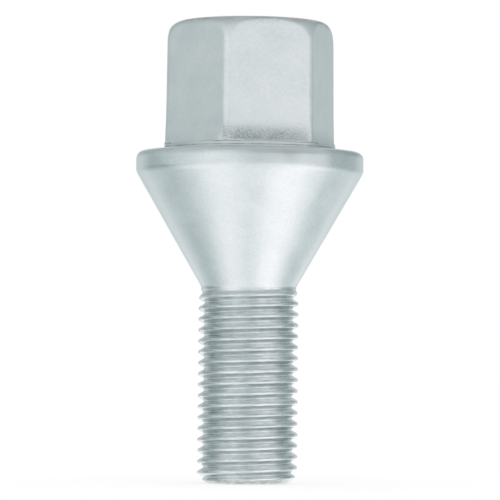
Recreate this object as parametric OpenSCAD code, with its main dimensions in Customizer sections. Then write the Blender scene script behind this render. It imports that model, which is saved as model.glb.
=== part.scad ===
// Wheel bolt: hexagon head, round collar, cone seat and a rolled metric thread.
// It stands on the flat end of its shank, with its axis on Z and the origin at the end face.

/* [Thread] */
// Nominal diameter of the thread
nominal_d = 14; // [12:0.5:16]
// Distance from one crest to the next
pitch = 1.5; // [1.25:0.25:2]
// How far the diameter over the crests falls short of the nominal one
crest_short = 0.25; // [0.05:0.05:0.4]
// Depth of the grooves under the nominal diameter, as a share of the pitch
groove_share = 0.65; // [0.6:0.01:0.67]
// Full angle between the two flanks of a groove
flank_angle = 60; // [55:1:60]
// Length from the end face to the foot of the cone seat
shank_len = 27; // [20:0.5:40]
// Height over which the thread fades into the neck
runout_len = 1.6; // [0.8:0.1:3]
// Radius that rounds the end of the shank
end_round = 2.2; // [1:0.1:3]
// Angle round the axis at which a crest meets the end face
start_angle = 166; // [0:2:358]

/* [Seat] */
// How far the neck under the seat, which is the blank before rolling, falls short of the nominal diameter
neck_short = 0.95; // [0.7:0.05:1.2]
// Full angle of the cone seat
seat_angle = 60; // [56:1:70]

/* [Collar] */
// Diameter of the collar
collar_d = 31.3; // [29:0.1:34]
// Height of the collar above the seat's outer edge
collar_h = 2.8; // [2.5:0.1:5]
// Radius between the seat and the collar's side
seat_round = 2; // [0.8:0.1:2.4]
// Radius between the collar's side and its top
rim_round = 1.1; // [0.5:0.1:1.2]

/* [Head] */
// Diameter of the round foot under the hexagon
foot_d = 23.5; // [23.3:0.05:23.7]
// Height of the foot's side
foot_h = 0.85; // [0.5:0.05:2]
// Height of the hollow that runs along the foot of each flat
hollow_h = 1.3; // [1:0.1:1.6]
// Radius of that hollow
hollow_r = 2; // [1.8:0.1:3]
// Width across the flats at the foot, for a 21 mm socket
hex_af = 20.9; // [20.6:0.05:21]
// Diameter over the rounded corners above the foot
corner_d = 23.7; // [23:0.05:23.9]
// Lean of each flat towards the axis, in degrees
hex_draft = 0.5; // [0.1:0.1:1]
// Height from the collar to the top of the head
head_h = 17.9; // [12:0.1:25]
// Diameter of the flat on top of the head
crown_flat_d = 18.4; // [17:0.1:19]
// Radius that rounds the top of the head down to its corners
crown_round = 2.4; // [1.6:0.1:2.6]
// Lean of the short cone under the rounded top, in degrees
crown_lean = 15; // [8:1:25]

/* [Hidden] */

steel = [0.76, 0.8, 0.81];

// Diameters over the crests, at the bottom of the grooves and over the neck
thread_d = nominal_d - crest_short;
root_d = nominal_d - 2 * groove_share * pitch;
neck_d = nominal_d - neck_short;

// Heights on the axis
seat_z = shank_len;
rim_z = seat_z + (collar_d - neck_d) / 2 / tan(seat_angle / 2);
collar_top = rim_z + collar_h;
foot_top = collar_top + foot_h;
head_top = collar_top + head_h;

// Thread form, and the height at which the turns have faded into the neck
thread_depth = (thread_d - root_d) / 2;
flank_run = thread_depth * tan(flank_angle / 2);
crest_flat = pitch / 8 + crest_short * tan(flank_angle / 2);
root_flat = pitch - crest_flat - 2 * flank_run;
crest_mid = root_flat + flank_run + crest_flat / 2;
fade_top = seat_z - 0.2;
turn_steps = 36;
lead_turns = 1;
buried_len = 1.5;
rod_steps = ceil((seat_z + buried_len) / pitch + lead_turns) * turn_steps;

// How far one solid runs on inside its neighbour, so that they fuse
sunk = 1.5;
// How far the circle of the rounded end stands out past the crests, so that it cuts them at a slant
end_over = 0.1;
// Sides of the smooth circles, and of the hollow's arc
smooth = 96;
hollow_steps = 8;

// One edge line of the thread: its height above the root edge, and its radius
edge_z = [0, root_flat, root_flat + flank_run, root_flat + flank_run + crest_flat];
edge_r = [root_d / 2, root_d / 2, thread_d / 2, thread_d / 2];

function fade(z) = max(0, min(1, (fade_top - z) / runout_len));
function rod_z(step, edge) = pitch * (step / turn_steps - lead_turns) + edge_z[edge] - crest_mid;
function rod_r(z, edge) = neck_d / 2 + (edge_r[edge] - neck_d / 2) * fade(z);
function rod_point(step, edge) =
    let (z = rod_z(step, edge), r = rod_r(z, edge), a = start_angle + 360 * step / turn_steps)
    [r * cos(a), r * sin(a), z];

// Number of the point on an edge line; edge 4 is edge 0 of the next turn
rod_row = rod_steps + turn_steps + 1;
function rod_id(step, edge) =
    edge == 4 ? step + turn_steps : edge == 0 ? step : rod_row + 3 * step + edge - 1;

// The whole thread as one helical strip that closes on itself turn by turn
module threaded_rod() {
    root_line = [for (s = [0:rod_steps + turn_steps]) rod_point(s, 0)];
    other_lines = [for (s = [0:rod_steps]) for (e = [1:3]) rod_point(s, e)];
    strip = [for (s = [0:rod_steps - 1]) for (e = [0:3]) for (half = [0:1])
        half == 0
            ? [rod_id(s, e), rod_id(s, e + 1), rod_id(s + 1, e + 1)]
            : [rod_id(s, e), rod_id(s + 1, e + 1), rod_id(s + 1, e)]];
    first = len(root_line) + len(other_lines);
    last = first + 1;
    bottom_fan = [for (s = [0:turn_steps - 1]) [first, s, s + 1]];
    bottom_step = [for (e = [0:3]) [first, rod_id(0, e + 1), rod_id(0, e)]];
    top_fan = [for (s = [rod_steps:rod_steps + turn_steps - 1]) [last, s + 1, s]];
    top_step = [for (e = [0:3]) [last, rod_id(rod_steps, e), rod_id(rod_steps, e + 1)]];
    ends = [[0, 0, rod_z(0, 0)], [0, 0, rod_z(rod_steps + turn_steps, 0)]];
    polyhedron(
        points = concat(root_line, other_lines, ends),
        faces = concat(strip, bottom_fan, bottom_step, top_fan, top_step));
}

// Outline that trims the rod to a flat end with a rounded edge, and stays clear of it above that
module end_outline() {
    wide_r = thread_d / 2 + end_over;
    flat_r = wide_r - end_round;
    polygon([[0, 0], [flat_r, 0], [wide_r, end_round], [wide_r + end_round, end_round],
        [wide_r + end_round, head_top], [0, head_top]]);
    translate([flat_r, end_round]) circle(r = end_round, $fn = smooth);
}

module shank() {
    color(steel)
    intersection() {
        threaded_rod();
        rotate_extrude($fn = smooth) end_outline();
    }
}

// Cone seat and collar, turned as one outline
module seat_outline() {
    half = seat_angle / 2;
    r = collar_d / 2;
    root = root_d / 2 - 1;
    seat_mid = [r - seat_round, rim_z + seat_round * tan(half / 2)];
    on_seat = seat_mid + seat_round * [cos(half), -sin(half)];
    rim_mid = [r - rim_round, collar_top - rim_round];
    polygon([[0, seat_z - (neck_d / 2 - root) / tan(half)],
        [root, seat_z - (neck_d / 2 - root) / tan(half)],
        on_seat, [r, seat_mid[1]], [r, rim_mid[1]], [rim_mid[0], collar_top], [0, collar_top]]);
    translate(seat_mid) circle(r = seat_round, $fn = smooth);
    translate(rim_mid) circle(r = rim_round, $fn = smooth);
}

module seat_and_collar() {
    color(steel) rotate_extrude($fn = smooth) seat_outline();
}

// What is taken off outside one flat, seen along it: above the foot, with a hollow that ends on the foot's top
module beside_flat_outline() {
    reach = 2 * hollow_r;
    top = head_h + sunk;
    on_flat = [-hollow_h * tan(hex_draft), hollow_h];
    middle = on_flat + hollow_r * [cos(hex_draft), sin(hex_draft)];
    sweep = asin(middle[1] / hollow_r) - hex_draft;
    hollow = [for (i = [hollow_steps:-1:0])
        let (a = hex_draft + sweep * i / hollow_steps) middle - hollow_r * [cos(a), sin(a)]];
    polygon(concat([[reach, 0]], hollow, [[-top * tan(hex_draft), top], [reach, top]]));
}

module beside_flat(turn) {
    rotate([0, 0, turn])
    translate([hex_af / 2, 0, foot_top])
    rotate([90, 0, 0])
    linear_extrude(hex_af, center = true) beside_flat_outline();
}

// Rounded crown, the slim cone that rounds the six corners, and the foot that they run out to
module crown_outline() {
    flat_r = crown_flat_d / 2;
    foot_r = foot_d / 2;
    corner_r = corner_d / 2;
    mid = [flat_r, head_top - crown_round];
    lip = mid + crown_round * [cos(crown_lean), sin(crown_lean)];
    corner_z = foot_top + hollow_h;
    corner_taper = tan(hex_draft) / cos(30);
    lip_gap = corner_r - (lip[1] - corner_z) * corner_taper - lip[0];
    meet = lip + lip_gap / (tan(crown_lean) - corner_taper) * [tan(crown_lean), -1];
    polygon([[0, collar_top - sunk], [foot_r, collar_top - sunk], [foot_r, foot_top],
        [corner_r, corner_z], meet, lip, [flat_r, head_top], [0, head_top]]);
    translate(mid) circle(r = crown_round, $fn = smooth);
}

module hexagon() {
    color(steel)
    difference() {
        rotate_extrude($fn = smooth) crown_outline();
        for (i = [0:5]) beside_flat(30 + 60 * i);
    }
}

module bolt() {
    union() {
        shank();
        seat_and_collar();
        hexagon();
    }
}

bolt();
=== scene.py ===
from math import cos, pi, radians, sin, tan

import bmesh
import bpy
import numpy as np
from mathutils import Matrix, Vector


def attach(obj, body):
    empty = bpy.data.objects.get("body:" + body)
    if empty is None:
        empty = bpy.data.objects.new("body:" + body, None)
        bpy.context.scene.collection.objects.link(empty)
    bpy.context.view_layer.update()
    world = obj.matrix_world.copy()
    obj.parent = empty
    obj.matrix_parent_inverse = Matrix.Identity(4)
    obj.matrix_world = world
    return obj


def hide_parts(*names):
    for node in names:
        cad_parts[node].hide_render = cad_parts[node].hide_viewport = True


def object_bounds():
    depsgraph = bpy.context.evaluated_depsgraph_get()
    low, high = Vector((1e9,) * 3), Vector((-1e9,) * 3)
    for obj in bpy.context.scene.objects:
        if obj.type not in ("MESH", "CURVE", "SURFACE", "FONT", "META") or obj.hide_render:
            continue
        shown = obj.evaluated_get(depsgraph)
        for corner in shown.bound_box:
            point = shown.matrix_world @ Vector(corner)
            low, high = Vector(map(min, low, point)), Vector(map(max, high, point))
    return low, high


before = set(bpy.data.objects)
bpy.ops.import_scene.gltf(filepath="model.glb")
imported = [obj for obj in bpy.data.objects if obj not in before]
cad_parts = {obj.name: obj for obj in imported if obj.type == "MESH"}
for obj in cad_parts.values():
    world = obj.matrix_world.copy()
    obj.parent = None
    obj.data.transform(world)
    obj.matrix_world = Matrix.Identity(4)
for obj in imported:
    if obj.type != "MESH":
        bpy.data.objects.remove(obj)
cad_low, cad_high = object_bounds()
scene = bpy.context.scene

# Camera
# It stands half a metre away, level with the lower half of the thread, and looks slightly up, so that the
# end face is hidden and one flat of the head shows nearly square on. It leans by half a degree.
CAMERA_AZIMUTH = radians(-104.1)
CAMERA_DISTANCE = 0.5133
CAMERA_HEIGHT = 0.01497
CAMERA_ROLL = radians(0.53)
AIM_HEIGHT = 0.03209
AIM_RIGHT = 0.00013
SENSOR_MM = 36.0
FOCAL_PX = 3733
IMAGE_PX = 500
NEAR_CLIP = 0.01
FAR_CLIP = 100.0

to_camera = Vector((cos(CAMERA_AZIMUTH), sin(CAMERA_AZIMUTH), 0))
camera_right = Vector((-to_camera.y, to_camera.x, 0))
camera_data = bpy.data.cameras.new("camera")
camera_data.sensor_width = SENSOR_MM
camera_data.lens = SENSOR_MM * FOCAL_PX / IMAGE_PX
camera_data.clip_start = NEAR_CLIP
camera_data.clip_end = FAR_CLIP
camera = bpy.data.objects.new("camera", camera_data)
scene.collection.objects.link(camera)
camera.location = CAMERA_DISTANCE * to_camera + Vector((0, 0, CAMERA_HEIGHT))
sight = AIM_RIGHT * camera_right + Vector((0, 0, AIM_HEIGHT)) - camera.location
camera.matrix_world = (
    Matrix.Translation(camera.location)
    @ sight.to_track_quat("-Z", "Y").to_matrix().to_4x4()
    @ Matrix.Rotation(CAMERA_ROLL, 4, "Z")
)
scene.camera = camera

# Threaded shank
# The shank is cold drawn steel, and its M14 x 1.5 thread is rolled onto it between two dies, which press the
# grooves in and squeeze the crests up. It fades into the plain neck, and the end is rounded and faced flat.
# Sizes and places on the bolt are in millimetres, and the camera and the studio are in metres.
MM = 0.001
PITCH = 1.5
CREST_R = 6.875
GROOVE_R = 6.025
NECK_R = 6.525
FLANK_ANGLE = radians(30)
CREST_HALF_FLAT = 0.166
CREST_ROUNDING = 0.2
GROOVE_ROUNDING = 0.2
WEAR = 0.02
NICK = 0.05
SEAM = 0.03
SEAM_WIDTH = 0.07
SEAT_Z = 27.0
FADE_TOP = SEAT_Z - 0.2
FADE_LENGTH = 1.6
THREAD_START = radians(166)
END_ROUND = 2.2
END_FLAT_R = 4.775
END_KNEE = 0.6
END_BLEND = 0.04
DISC_RUN = 1.5
FIRST_TURN, LAST_TURN = -2, 19
COLUMNS_PER_FLAT = 36
CORNER_CROWDING = 0.85

# One turn has these rows, given by their distance above a crest, and mirrored below the next one
CREST_TO_GROOVE = np.array([0.08, 0.16, 0.24, 0.40, 0.55, 0.65])
turn_rows = np.concatenate([[0], CREST_TO_GROOVE, [PITCH / 2], PITCH - CREST_TO_GROOVE[::-1]])

# The columns crowd towards the six corners of the head, where the radius changes fastest
flat_share = np.arange(COLUMNS_PER_FLAT) / COLUMNS_PER_FLAT
in_flat = radians(60) * (flat_share - CORNER_CROWDING * np.sin(2 * pi * flat_share) / (2 * pi))
angle = (in_flat + radians(60) * np.arange(6)[:, None]).ravel()
columns = len(angle)


def smooth_min(a, b, width):
    """The smaller of a and b. A parabola rounds their crossing where they differ by less than width."""
    share = np.clip(0.5 + (b - a) / (2 * width), 0, 1)
    return b + (a - b) * share - width * share * (1 - share)


def smooth_max(a, b, width):
    """The larger of a and b, rounded in the same way."""
    return -smooth_min(-a, -b, width)


def waves(phase, slowest, fastest, count, seed):
    """A sum of count sine waves along phase, in angle, with frequencies between slowest and fastest.

    Frequencies and starts are drawn with a fixed seed, and the sum is scaled to a spread of about one.
    """
    rng = np.random.default_rng(seed)
    total = np.zeros_like(phase)
    for _ in range(count):
        total += np.sin(rng.uniform(slowest, fastest) * phase + rng.uniform(0, 2 * pi))
    return total / (count / 2) ** 0.5


def thread_radius(z, around):
    """Radius of the rolled thread at height z and angle around.

    The distance from the nearest crest, along the axis, sets a straight flank at 60 degrees to the axis. The
    crest and the groove cut it off with rounded edges. Wear, small nicks and a seam lower the crest.
    """
    run = z - PITCH * (around - THREAD_START) / (2 * pi)
    crest_number = np.round(run / PITCH)
    off = np.abs(run - crest_number * PITCH)
    along = around - THREAD_START + 2 * pi * crest_number
    flank = CREST_R - (off - CREST_HALF_FLAT) / tan(FLANK_ANGLE)
    worn = WEAR * np.clip(waves(along, 3, 11, 9, seed=4), 0, 2)
    nicks = NICK * np.clip(waves(along, 12, 37, 12, seed=9) - 1.5, 0, 1.5)
    seam = SEAM * np.clip(waves(along, 5, 23, 9, seed=2), 0, 1) * np.exp(-((off / SEAM_WIDTH) ** 2))
    crest = CREST_R - worn - nicks - seam
    return smooth_max(smooth_min(flank, crest, CREST_ROUNDING), GROOVE_R, GROOVE_ROUNDING)


def shank_points():
    """Radius and height of the shank on a grid of helical rows, which follow the thread as it climbs.

    The climb of a row is its height, apart from three stretches: near the end face it slows down to follow
    the rounding, below that it runs in over the end face to the centre, and it stops level with the neck.
    """
    turns = np.arange(FIRST_TURN, LAST_TURN)
    row_start = np.append((PITCH * turns[:, None] + turn_rows).ravel(), PITCH * LAST_TURN)
    climb = row_start[:, None] + PITCH * (angle - THREAD_START) / (2 * pi)
    slowed = (np.clip(climb, -END_KNEE, END_KNEE) + END_KNEE) ** 2 / (4 * END_KNEE)
    z = np.minimum(np.where(climb < END_KNEE, slowed, climb), FADE_TOP)
    fade = np.clip((FADE_TOP - z) / FADE_LENGTH, 0, 1)
    thread = NECK_R + (thread_radius(z, angle) - NECK_R) * fade
    below_round = np.clip(END_ROUND - z, 0, END_ROUND)
    end = END_FLAT_R + np.sqrt(END_ROUND**2 - below_round**2)
    radius = np.where(z < END_ROUND, smooth_min(thread, end, END_BLEND), thread)
    on_disc = np.clip(1 + (climb + END_KNEE) / DISC_RUN, 0, 1)
    return np.where(climb < -END_KNEE, END_FLAT_R * on_disc, radius), z


# Seat and collar
# The cone that centres the bolt in the wheel is turned in one piece with the collar over it. A small radius
# joins it to the neck, a larger one rounds it into the collar's side, and a third rounds the rim.
COLLAR_R = cad_high.x / MM
SEAT_HALF_ANGLE = 30
NECK_FILLET = 0.6
COLLAR_H = 2.8
SEAT_ROUND = 2.0
RIM_ROUND = 1.1
DENT_RISE = 1.0
RIM_Z = SEAT_Z + (COLLAR_R - NECK_R) / tan(radians(SEAT_HALF_ANGLE))
COLLAR_TOP = RIM_Z + COLLAR_H


def arc(mid_r, mid_z, size, start, stop, count):
    """Points on a circle of that size round (mid_r, mid_z), from one angle to another in degrees."""
    turn = np.radians(np.linspace(start, stop, count))
    return np.stack([mid_r + size * np.cos(turn), mid_z + size * np.sin(turn)], axis=1)


def line(start, stop, count):
    """Points on a straight line, both ends left out."""
    share = np.linspace(0, 1, count + 2)[1:-1, None]
    return np.array(start) * (1 - share) + np.array(stop) * share


half_turn = tan(radians(SEAT_HALF_ANGLE / 2))
neck_fillet = arc(NECK_R + NECK_FILLET, SEAT_Z - NECK_FILLET * half_turn, NECK_FILLET,
                  180, 180 - SEAT_HALF_ANGLE, 5)
seat_round = arc(COLLAR_R - SEAT_ROUND, RIM_Z + SEAT_ROUND * half_turn, SEAT_ROUND, -SEAT_HALF_ANGLE, 0, 9)
rim_round = arc(COLLAR_R - RIM_ROUND, COLLAR_TOP - RIM_ROUND, RIM_ROUND, 0, 90, 11)

# Head
# The hexagon for a 21 mm socket is forged. It stands on a low round foot, and a hollow runs along the foot of
# each flat. The crown rounds the top down to the six corners.
FOOT_R = 11.75
FOOT_H = 0.85
FOOT_TOP = COLLAR_TOP + FOOT_H
FOOT_CREASE = 0.12
FOOT_EDGE = 0.1
HOLLOW_H = 2.2
HOLLOW_R = 5.2
HOLLOW_FADE = (radians(23), radians(29.5))
FOOT_FADE = (radians(20), radians(29))
FLAT_R = 10.45
CORNER_R = 11.85
CORNER_ROUNDING = 0.12
CORNER_GROWTH = 0.13
GROWTH_FADE = (0.5, 4.0)
DRAFT = tan(radians(0.5))
HEAD_TOP = cad_high.z / MM
CROWN_FLAT_R = 9.2
CROWN_ROUND = 2.4
CROWN_LEAN = 15
CROWN_ROUNDING = 0.1
TAPER_H = 1.05
TAPER_GAP = 0.1
ROW_GAP = 0.15
ON_SURFACE = 0.01
DENT = 0.035
DENT_WAVES = 14
DENTS_ROUND = (9, 30)
DENT_DRIFT = 1.6
DENT_SPREAD = 9

foot_crease = arc(FOOT_R + FOOT_CREASE, COLLAR_TOP + FOOT_CREASE, FOOT_CREASE, -90, -180, 8)
foot_edge = arc(FOOT_R - FOOT_EDGE, FOOT_TOP - FOOT_EDGE, FOOT_EDGE, 0, 90, 5)
crown_arc = arc(CROWN_FLAT_R, HEAD_TOP - CROWN_ROUND, CROWN_ROUND, CROWN_LEAN, 90, 16)


def smooth_step(value, low, high):
    """0 below low, 1 above high, and a smooth rise between them."""
    share = np.clip((value - low) / (high - low), 0, 1)
    return share * share * (3 - 2 * share)


from_middle = angle % radians(60) - radians(30)
near_corner = smooth_step(np.abs(from_middle), *FOOT_FADE)


def hexagon_radius(z):
    """Radius of the six flats at height z: the flat's distance over the cosine of the angle from its middle.

    Over the foot an arc adds to that distance, and it fades out towards the corners. The corners stop at
    their own radius, which grows a little towards the foot, with a rounded crossing. All of it leans in.
    """
    up = z - FOOT_TOP
    lean = DRAFT * np.maximum(up - HOLLOW_H, 0)
    below = np.clip(HOLLOW_H - up, 0, HOLLOW_H)
    hollow = HOLLOW_R - np.sqrt(HOLLOW_R**2 - below**2)
    hollow = hollow * (1 - smooth_step(np.abs(from_middle), *HOLLOW_FADE))
    flat = (FLAT_R - lean + hollow) / np.cos(from_middle)
    growth = CORNER_GROWTH * (1 - smooth_step(up, *GROWTH_FADE))
    corner = CORNER_R - lean / cos(radians(30)) + growth
    return smooth_min(flat, corner, CORNER_ROUNDING)


def dents(z):
    """Depth of the shallow dents of the forging, as a share of the deepest.

    It is a sum of waves round the axis that drift with z. Their numbers are whole, so that a row closes on
    itself.
    """
    rng = np.random.default_rng(5)
    total = np.zeros(np.broadcast_shapes(z.shape, angle.shape))
    for _ in range(DENT_WAVES):
        around = rng.integers(*DENTS_ROUND) * angle
        total += np.sin(around + rng.uniform(-DENT_DRIFT, DENT_DRIFT) * z + rng.uniform(0, 2 * pi))
    return np.clip(0.5 + total / DENT_SPREAD, 0, 1)


def upper_points():
    """Radius and height of all that is above the thread, on level rows.

    The round outline is carried round the axis up to the foot, the hexagon takes over there, and the crown
    cuts it off. Dents sink the collar's side, and the foot swells out under the corners to meet them.
    """
    seat = line(neck_fillet[-1], seat_round[0], 14)
    side = line(seat_round[-1], rim_round[0], 2)
    shelf = line(rim_round[-1], foot_crease[0], 4)
    foot_side = line(foot_crease[-1], foot_edge[0], 2)
    outline = np.concatenate([[[NECK_R, FADE_TOP]], neck_fillet, seat, seat_round, side, rim_round, shelf,
                              foot_crease, foot_side, foot_edge])
    lip_r, lip_z = crown_arc[0]
    hollow_z = FOOT_TOP + np.linspace(0, HOLLOW_H, 14)
    flat_z = np.linspace(FOOT_TOP + HOLLOW_H + ROW_GAP, lip_z - TAPER_H - ROW_GAP, 18)
    taper_z = np.linspace(lip_z - TAPER_H, lip_z - TAPER_GAP, 7)
    disc_r = CROWN_FLAT_R * np.array([0.97, 0.8, 0.55, 0.3, 0])
    hexagon_z = np.concatenate([hollow_z, flat_z])[:, None]
    crown_z = np.concatenate([taper_z, crown_arc[:, 1], np.full(len(disc_r), HEAD_TOP)])
    crown_r = np.concatenate([lip_r + (lip_z - taper_z) * tan(radians(CROWN_LEAN)), crown_arc[:, 0], disc_r])
    crown = smooth_min(hexagon_radius(crown_z[:, None]), crown_r[:, None], CROWN_ROUNDING)
    dented = smooth_step(outline[:, 1:], RIM_Z, RIM_Z + DENT_RISE) * (outline[:, :1] > COLLAR_R - RIM_ROUND)
    collar = outline[:, :1] - DENT * dented * dents(outline[:, 1:])
    over_collar = smooth_step(outline[:, 1:], COLLAR_TOP, COLLAR_TOP + FOOT_CREASE)
    on_foot = over_collar * (outline[:, :1] < FOOT_R + ON_SURFACE)
    round_part = collar + on_foot * near_corner * (CORNER_R + CORNER_GROWTH - FOOT_R)
    radius = np.concatenate([round_part, hexagon_radius(hexagon_z), crown])
    z = np.concatenate([outline[:, 1:], hexagon_z, crown_z[:, None]])
    return radius, z + 0 * radius


# Skin of the bolt
# The bolt is one piece of steel, so both grids become one closed skin. A helical row meets itself one turn of
# rows further on. Points that fall together, at the two centres and round the neck, are merged.
WELD_DISTANCE = 1e-8


def grid_faces(rows, first, shift):
    """Corner numbers of a grid's faces. The last column joins the first, shift rows further on."""
    number = first + np.arange(rows * columns).reshape(rows, columns)
    inner = np.stack([number[:-1, :-1], number[:-1, 1:], number[1:, 1:], number[1:, :-1]], axis=-1)
    left, right = number[:rows - shift, -1], number[shift:, 0]
    seam = np.stack([left[:-1], right[:-1], right[1:], left[1:]], axis=-1)
    return np.concatenate([inner.reshape(-1, 4), seam])


shank_r, shank_z = shank_points()
upper_r, upper_z = upper_points()
skin_r, skin_z = np.concatenate([shank_r, upper_r]), np.concatenate([shank_z, upper_z])
corners = np.stack([skin_r * np.cos(angle), skin_r * np.sin(angle), skin_z], axis=-1).reshape(-1, 3) * MM
faces = np.concatenate([
    grid_faces(len(shank_r), 0, len(turn_rows)),
    grid_faces(len(upper_r), shank_r.size, 0),
])
skin = bpy.data.meshes.new("wheel_bolt")
skin.from_pydata(corners, [], faces)
welded = bmesh.new()
welded.from_mesh(skin)
bmesh.ops.remove_doubles(welded, verts=welded.verts, dist=WELD_DISTANCE)
welded.to_mesh(skin)
welded.free()
skin.shade_smooth()
bolt = bpy.data.objects.new("wheel_bolt", skin)
scene.collection.objects.link(bolt)
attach(bolt, "root")
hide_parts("bolt")


# Zinc coating
# All of the bolt has one thin coat of zinc, plated onto the bare steel. It is matt and grainy on the forged
# head, smoother on the turned seat and collar, and shiny on the rolled thread. It has dulled in a patch on
# the collar and is darker in places on the head, and painted shade darkens the end of the thread and a line
# round the foot.
NOISE_RANGE = (0.3, 0.7)
COLOUR_RANGE = (0.35, 0.65)
ROUGHNESS_SPREAD = 0.05


def linear(code):
    """RGBA in linear light for an sRGB hex code."""
    value = np.array([int(code[i:i + 2], 16) for i in (0, 2, 4)]) / 255
    value = np.where(value <= 0.04045, value / 12.92, ((value + 0.055) / 1.055) ** 2.4)
    return (*value, 1.0)


def add(tree, kind, settings=None, values=None, links=None):
    """Adds one node, sets its properties and its sockets' values, and links its sockets to other outputs."""
    node = tree.nodes.new(kind)
    for name, value in (settings or {}).items():
        setattr(node, name, value)
    for socket, value in (values or {}).items():
        node.inputs[socket].default_value = value
    for socket, source in (links or {}).items():
        tree.links.new(source, node.inputs[socket])
    return node


def zinc(name, dark, light, roughness, grain_mm, cloud_mm, bump_mm, dull_and_shade_code, dull_and_shade_mask, drawn=1.0):
    """Satin zinc: clouds of two close greys, a roughness that varies a little, and a fine grain as bump.

    Where drawn is above 1, the patterns are that much longer round the bolt than along it. The mask function
    adds nodes that give the share by which the colour turns to the darker code: a dulled coat in some places,
    painted shade in others.
    """
    material = bpy.data.materials.new(name)
    material.use_nodes = True
    tree = material.node_tree
    tree.nodes.clear()
    place = add(tree, "ShaderNodeTexCoord").outputs["Object"]
    stretched = add(tree, "ShaderNodeVectorMath", {"operation": "MULTIPLY"}, {1: (1 / drawn, 1 / drawn, 1)},
                    {0: place}).outputs[0]
    cloud = add(tree, "ShaderNodeTexNoise", values={"Scale": 1 / (cloud_mm * MM), "Detail": 3.0},
                links={"Vector": stretched})
    grain = add(tree, "ShaderNodeTexNoise", values={"Scale": 1 / (grain_mm * MM), "Detail": 2.0},
                links={"Vector": stretched})
    half_cloud = add(tree, "ShaderNodeMath", {"operation": "MULTIPLY"}, {1: 0.5}, {0: cloud.outputs["Fac"]})
    mixed = add(tree, "ShaderNodeMath", {"operation": "MULTIPLY_ADD"}, {1: 0.5},
                {0: grain.outputs["Fac"], 2: half_cloud.outputs[0]})
    colour = add(tree, "ShaderNodeValToRGB", links={"Fac": mixed.outputs[0]})
    for stop, position, code in zip(colour.color_ramp.elements, COLOUR_RANGE, (dark, light)):
        stop.position = position
        stop.color = linear(code)
    rough = add(tree, "ShaderNodeMapRange",
                values={"From Min": NOISE_RANGE[0], "From Max": NOISE_RANGE[1],
                        "To Min": roughness - ROUGHNESS_SPREAD, "To Max": roughness + ROUGHNESS_SPREAD},
                links={"Value": mixed.outputs[0]})
    bump = add(tree, "ShaderNodeBump", values={"Strength": 1.0, "Distance": bump_mm * MM},
               links={"Height": grain.outputs["Fac"]})
    coat = add(tree, "ShaderNodeMix", {"data_type": "RGBA"}, {"B": linear(dull_and_shade_code)},
               {"Factor": dull_and_shade_mask(tree, place), "A": colour.outputs["Color"]})
    shader = add(tree, "ShaderNodeBsdfPrincipled", values={"Metallic": 1.0},
                 links={"Base Color": coat.outputs["Result"], "Roughness": rough.outputs["Result"],
                        "Normal": bump.outputs["Normal"]})
    add(tree, "ShaderNodeOutputMaterial", links={"Surface": shader.outputs[0]})
    return material


def band(tree, place, axis, none_mm, full_mm, most=1.0):
    """A share that rises smoothly from 0 to the most between two distances along an axis."""
    axes = add(tree, "ShaderNodeSeparateXYZ", links={"Vector": place})
    share = add(tree, "ShaderNodeMapRange", {"interpolation_type": "SMOOTHSTEP"},
                {"From Min": none_mm * MM, "From Max": full_mm * MM, "To Max": most},
                {"Value": axes.outputs[axis]})
    return share.outputs["Result"]


def speckle(tree, place, size_mm, noise, least):
    """A share that goes from least to 1 over a range of a noise of that size."""
    clouds = add(tree, "ShaderNodeTexNoise", values={"Scale": 1 / (size_mm * MM), "Detail": 2.0},
                 links={"Vector": place})
    share = add(tree, "ShaderNodeMapRange",
                values={"From Min": noise[0], "From Max": noise[1], "To Min": least},
                links={"Value": clouds.outputs["Fac"]})
    return share.outputs["Result"]


def joined(tree, operation, first, *others):
    """The product, or the largest, of several shares."""
    for other in others:
        first = add(tree, "ShaderNodeMath", {"operation": operation}, links={0: first, 1: other}).outputs[0]
    return first


# Each pair of distances in millimetres goes from where the darkening starts to where it is full
END_SHADE_RANGE = (0.75, 0.3)


def painted_shade_at_end(tree, place):
    """Painted shade on the last half millimetre over the end face: a darker, uneven edge just over the floor.
    """
    return joined(tree, "MULTIPLY", band(tree, place, "Z", *END_SHADE_RANGE),
                  speckle(tree, place, size_mm=0.6, noise=(0.3, 0.6), least=0.4))


PATCH_BOTTOM = (COLLAR_TOP - 3.2, COLLAR_TOP - 1.4)
PATCH_TOP = (COLLAR_TOP - 0.1, COLLAR_TOP - 1.0)
PATCH_LEFT = (-7, -1)
PATCH_RIGHT = (7, 1)
PATCH_FRONT = (-10, -13)


def dull_on_collar(tree, place):
    """A cloudy, duller patch of the coat on the front of the collar and the top of the seat under it."""
    return joined(tree, "MULTIPLY", band(tree, place, "Z", *PATCH_BOTTOM), band(tree, place, "Z", *PATCH_TOP),
                  band(tree, place, "X", *PATCH_LEFT), band(tree, place, "X", *PATCH_RIGHT),
                  band(tree, place, "Y", *PATCH_FRONT),
                  speckle(tree, place, size_mm=3.0, noise=(0.35, 0.6), least=0.5))


HOLLOW_TOP = (FOOT_TOP + 3.0, FOOT_TOP + 0.8)
HOLLOW_BOTTOM = (FOOT_TOP + 0.05, FOOT_TOP + 0.3)
HOLLOW_FRONT = (-9.8, -10.3)
HOLLOW_RIGHT = (9, 1)
CREASE_SHADE_TOP = (COLLAR_TOP + 0.58, COLLAR_TOP + 0.44)
CREASE_SHADE_BOTTOM = (COLLAR_TOP + 0.26, COLLAR_TOP + 0.4)
CROWN_FRINGE = (HEAD_TOP - 1.3, HEAD_TOP - 0.1)
CROWN_EDGE = (HEAD_TOP - 0.5, HEAD_TOP - 0.15)
CROWN_EDGE_SHARE = 0.75
FOOT_SIDE = (FOOT_TOP + 0.05, FOOT_TOP - 0.1)
FOOT_SIDE_SHARE = 0.2


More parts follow.
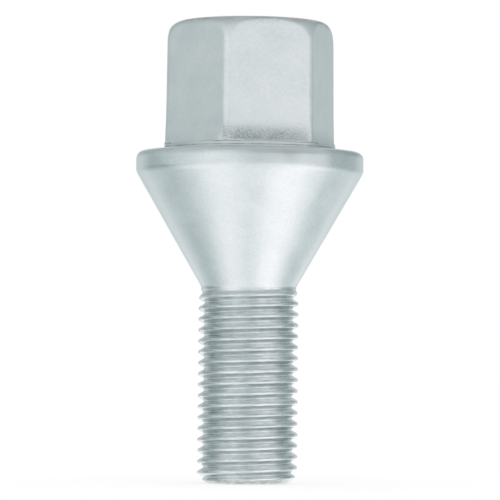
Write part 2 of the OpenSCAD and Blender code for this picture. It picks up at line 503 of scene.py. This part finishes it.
def darker_parts_and_shade_on_head(tree, place):
    """The darker parts of the head: the front hollow, the foot's side and the crown's edge, and painted shade
    in a line round the foot's side.

    A fine grain breaks up the hollow and the fringe under the crown's edge.
    """
    hollow = joined(tree, "MULTIPLY", band(tree, place, "Z", *HOLLOW_TOP),
                    band(tree, place, "Z", *HOLLOW_BOTTOM), band(tree, place, "Y", *HOLLOW_FRONT),
                    band(tree, place, "X", *HOLLOW_RIGHT),
                    speckle(tree, place, size_mm=1.5, noise=(0.3, 0.6), least=0.6))
    # Painted shade: a grainy dark line round the foot's side, over the crease between the foot and the collar
    painted_crease_shade = joined(tree, "MULTIPLY", band(tree, place, "Z", *CREASE_SHADE_TOP),
                    band(tree, place, "Z", *CREASE_SHADE_BOTTOM),
                    speckle(tree, place, size_mm=1.5, noise=(0.3, 0.6), least=0.4))
    fringe = joined(tree, "MULTIPLY", band(tree, place, "Z", *CROWN_FRINGE),
                    speckle(tree, place, size_mm=2.5, noise=(0.35, 0.6), least=0.5))
    grainy = joined(tree, "MULTIPLY", joined(tree, "MAXIMUM", hollow, fringe),
                    speckle(tree, place, size_mm=0.18, noise=(0.40, 0.57), least=0.3))
    side = band(tree, place, "Z", *FOOT_SIDE, most=FOOT_SIDE_SHARE)
    edge = band(tree, place, "Z", *CROWN_EDGE, most=CROWN_EDGE_SHARE)
    return joined(tree, "MAXIMUM", grainy, painted_crease_shade, side, edge)


# The dies press the thread smooth, so it is the shiniest part, with streaks drawn out round the bolt
# Painted shade darkens the last half millimetre of the thread over the end face
rolled = zinc("zinc_on_rolled_thread", "BFC8CA", "E4E9EB", roughness=0.22, grain_mm=0.16, cloud_mm=0.7,
              bump_mm=0.025, drawn=9.0, dull_and_shade_code="959E9F", dull_and_shade_mask=painted_shade_at_end)
# The lathe leaves the seat and the collar even and fine, so they are satin
turned = zinc("zinc_on_turned_seat", "D2DBDD", "DEE6E8", roughness=0.32, grain_mm=0.35, cloud_mm=3.0,
              bump_mm=0.005, dull_and_shade_code="BBC2C4", dull_and_shade_mask=dull_on_collar)
# The forging leaves a rough scale on the head, so it is matt and grainy
forged = zinc("zinc_on_forged_head", "D6DEE0", "E4E9EA", roughness=0.45, grain_mm=0.30, cloud_mm=3.0,
              bump_mm=0.02, dull_and_shade_code="A9AFAE", dull_and_shade_mask=darker_parts_and_shade_on_head)
for coat in (rolled, turned, forged):
    skin.materials.append(coat)

# Each face takes the coat of the stretch that its middle is in
HEAD_FROM = COLLAR_TOP + 0.02
heights = np.empty(len(skin.polygons) * 3)
skin.polygons.foreach_get("center", heights)
heights = heights[2::3] / MM
on_seat, on_head = heights > FADE_TOP, heights > HEAD_FROM
skin.polygons.foreach_set("material_index", on_seat.astype(int) + on_head)

# Studio
# A white room. Only the metal sees its walls and ceiling, which are painted in soft greys round the bolt:
# darker on both sides and behind, lighter in front, and brightest low down, which lights the seat.
ROOM_R = 0.4
ROOM_LOW = -1.2
ROOM_HIGH = 0.5
ROOM_SIDES = 96
BRIGHTEST = 1.4
FLOOR_HALF = 60.0

# Tones in linear light by the angle from the camera's side, to the right, in degrees
LOW_WALL = {-180: 1.15, -155: 1.12, -141: 0.93, -120: 0.68, -105: 0.62, -90: 0.68, -75: 0.9, -62: 1.1,
            -48: 1.22, -30: 1.15, 0: 0.95, 12: 1.02, 30: 1.18, 50: 1.32, 66: 1.32, 82: 1.18, 95: 0.88,
            110: 0.74, 130: 0.8, 155: 1.2, 180: 1.2}
THREAD_WALL = {-180: 0.72, -155: 0.74, -138: 0.8, -122: 0.48, -105: 0.34, -90: 0.4, -76: 0.55, -62: 0.85,
               -45: 1.1, -30: 1.18, -12: 1.08, 5: 0.98, 28: 1.22, 55: 1.22, 68: 1.0, 78: 0.78, 92: 0.52,
               110: 0.46, 125: 0.55, 145: 0.8, 180: 0.72}
MIDDLE_WALL = {-180: 0.72, -155: 0.74, -138: 0.82, -122: 0.6, -105: 0.56, -96: 0.72, -85: 0.84, -60: 0.95,
               -40: 1.03, -15: 0.92, 5: 0.82, 28: 1.04, 55: 1.08, 75: 0.88, 92: 0.56, 110: 0.5, 125: 0.58,
               145: 0.8, 160: 0.78, 180: 0.72}
HIGH_WALL = {-180: 1.2, -168: 0.9, -156: 0.5, -130: 0.5, -92: 0.66, -60: 0.74, -32: 0.95, -10: 0.8, 15: 0.7,
             40: 0.7, 85: 0.66, 130: 0.42, 155: 0.42, 170: 0.9, 180: 1.2}
CEILING = 0.64
TEAL = 0.24

# Heights between which each wall, and then the ceiling, takes over from the one below it
THREAD_BLEND = (-0.1, -0.02)
MIDDLE_BLEND = (0.03, 0.05)
HIGH_BLEND = (0.08, 0.18)
CEILING_BLEND = (0.42, 0.48)


def tone_ramp(tree, turn, tones):
    """Grey tones by angle, where the darker ones hold a little less red."""
    ramp = add(tree, "ShaderNodeValToRGB", links={"Fac": turn})
    stops = ramp.color_ramp.elements
    for number, (degrees, tone) in enumerate(tones.items()):
        stop = stops[number] if number < 2 else stops.new(1)
        stop.position = degrees / 360 + 0.5
        grey = tone / BRIGHTEST
        stop.color = (grey * (1 - TEAL * (1 - tone)), grey, grey, 1)
    return ramp.outputs["Color"]


def painted_walls():
    """Emission that blends the four ramps by height, and gives the ceiling its own tone."""
    material = bpy.data.materials.new("painted_walls")
    material.use_nodes = True
    tree = material.node_tree
    tree.nodes.clear()
    place = add(tree, "ShaderNodeTexCoord").outputs["Object"]
    turned = add(tree, "ShaderNodeVectorRotate", {"rotation_type": "Z_AXIS"}, {"Angle": -CAMERA_AZIMUTH},
                 {"Vector": place})
    axes = add(tree, "ShaderNodeSeparateXYZ", links={"Vector": turned.outputs[0]})
    around = add(tree, "ShaderNodeMath", {"operation": "ARCTAN2"},
                 links={0: axes.outputs["Y"], 1: axes.outputs["X"]})
    turn = add(tree, "ShaderNodeMapRange", values={"From Min": -pi, "From Max": pi},
               links={"Value": around.outputs[0]}).outputs["Result"]
    colour = tone_ramp(tree, turn, LOW_WALL)
    ceiling = add(tree, "ShaderNodeRGB")
    ceiling.outputs[0].default_value = [CEILING / BRIGHTEST] * 3 + [1]
    for upper, (bottom, top) in ((tone_ramp(tree, turn, THREAD_WALL), THREAD_BLEND),
                                 (tone_ramp(tree, turn, MIDDLE_WALL), MIDDLE_BLEND),
                                 (tone_ramp(tree, turn, HIGH_WALL), HIGH_BLEND),
                                 (ceiling.outputs[0], CEILING_BLEND)):
        share = add(tree, "ShaderNodeMapRange", {"interpolation_type": "SMOOTHSTEP"},
                    {"From Min": bottom, "From Max": top}, {"Value": axes.outputs["Z"]})
        mixed = add(tree, "ShaderNodeMix", {"data_type": "RGBA"},
                    links={"Factor": share.outputs["Result"], "A": colour, "B": upper})
        colour = mixed.outputs["Result"]
    glow = add(tree, "ShaderNodeEmission", values={"Strength": BRIGHTEST}, links={"Color": colour})
    add(tree, "ShaderNodeOutputMaterial", links={"Surface": glow.outputs[0]})
    return material


around_room = np.linspace(0, 2 * pi, ROOM_SIDES, endpoint=False)
wall_ring = np.column_stack([ROOM_R * np.cos(around_room), ROOM_R * np.sin(around_room), 0 * around_room])
ring_number = np.arange(ROOM_SIDES)
next_number = (ring_number + 1) % ROOM_SIDES
wall_faces = np.stack([ring_number, ring_number + ROOM_SIDES, next_number + ROOM_SIDES, next_number], axis=1)
walls_mesh = bpy.data.meshes.new("walls")
walls_mesh.from_pydata(
    np.concatenate([wall_ring + [0, 0, ROOM_LOW], wall_ring + [0, 0, ROOM_HIGH]]), [],
    [*wall_faces, ring_number + ROOM_SIDES])
walls_mesh.materials.append(painted_walls())
walls = bpy.data.objects.new("walls", walls_mesh)
scene.collection.objects.link(walls)
walls.visible_camera = False
walls.visible_diffuse = False
walls.visible_shadow = False

# The floor is wide enough to end at the horizon. The eye sees it as white paper, apart from a faint shadow.
PAPER_GLOW = 0.7
floor_mesh = bpy.data.meshes.new("floor")
floor_corners = [(-FLOOR_HALF, -FLOOR_HALF, 0), (FLOOR_HALF, -FLOOR_HALF, 0),
                 (FLOOR_HALF, FLOOR_HALF, 0), (-FLOOR_HALF, FLOOR_HALF, 0)]
floor_mesh.from_pydata(floor_corners, [], [(0, 1, 2, 3)])
floor = bpy.data.objects.new("floor", floor_mesh)
scene.collection.objects.link(floor)
floor.visible_glossy = False
floor.visible_shadow = False
paper = bpy.data.materials.new("white_paper")
paper.use_nodes = True
paper_tree = paper.node_tree
paper_tree.nodes.clear()
paper_matt = add(paper_tree, "ShaderNodeBsdfDiffuse", values={"Color": (1, 1, 1, 1)})
paper_glow = add(paper_tree, "ShaderNodeEmission", values={"Color": (1, 1, 1, 1)})
paper_path = add(paper_tree, "ShaderNodeLightPath")
paper_share = add(paper_tree, "ShaderNodeMath", {"operation": "MULTIPLY"}, {1: PAPER_GLOW},
                  {0: paper_path.outputs["Is Camera Ray"]})
paper_mix = add(paper_tree, "ShaderNodeMixShader",
                links={0: paper_share.outputs[0], 1: paper_matt.outputs[0], 2: paper_glow.outputs[0]})
add(paper_tree, "ShaderNodeOutputMaterial", links={"Surface": paper_mix.outputs[0]})
floor_mesh.materials.append(paper)

# Beyond the floor everything is an even white
world = bpy.data.worlds.new("studio")
scene.world = world
world.use_nodes = True
air = world.node_tree
air.nodes.clear()
white = add(air, "ShaderNodeBackground", values={"Color": (1, 1, 1, 1)})
add(air, "ShaderNodeOutputWorld", links={"Surface": white.outputs[0]})

# One broad soft lamp overhead gives the bolt its shadow on the floor
LAMP_RADIANCE = 0.4
LAMP_SIZE = 0.5
LAMP_PLACE = Vector((-0.2, -0.4, 0.8))
lamp_data = bpy.data.lights.new("soft_lamp", "AREA")
lamp_data.size = LAMP_SIZE
lamp_data.energy = LAMP_RADIANCE * pi * LAMP_SIZE**2
lamp = bpy.data.objects.new("soft_lamp", lamp_data)
scene.collection.objects.link(lamp)
lamp.location = LAMP_PLACE
lamp.rotation_euler = (-LAMP_PLACE).to_track_quat("-Z", "Y").to_euler()
lamp.visible_camera = False
lamp.visible_glossy = False

scene.view_settings.view_transform = "Standard"
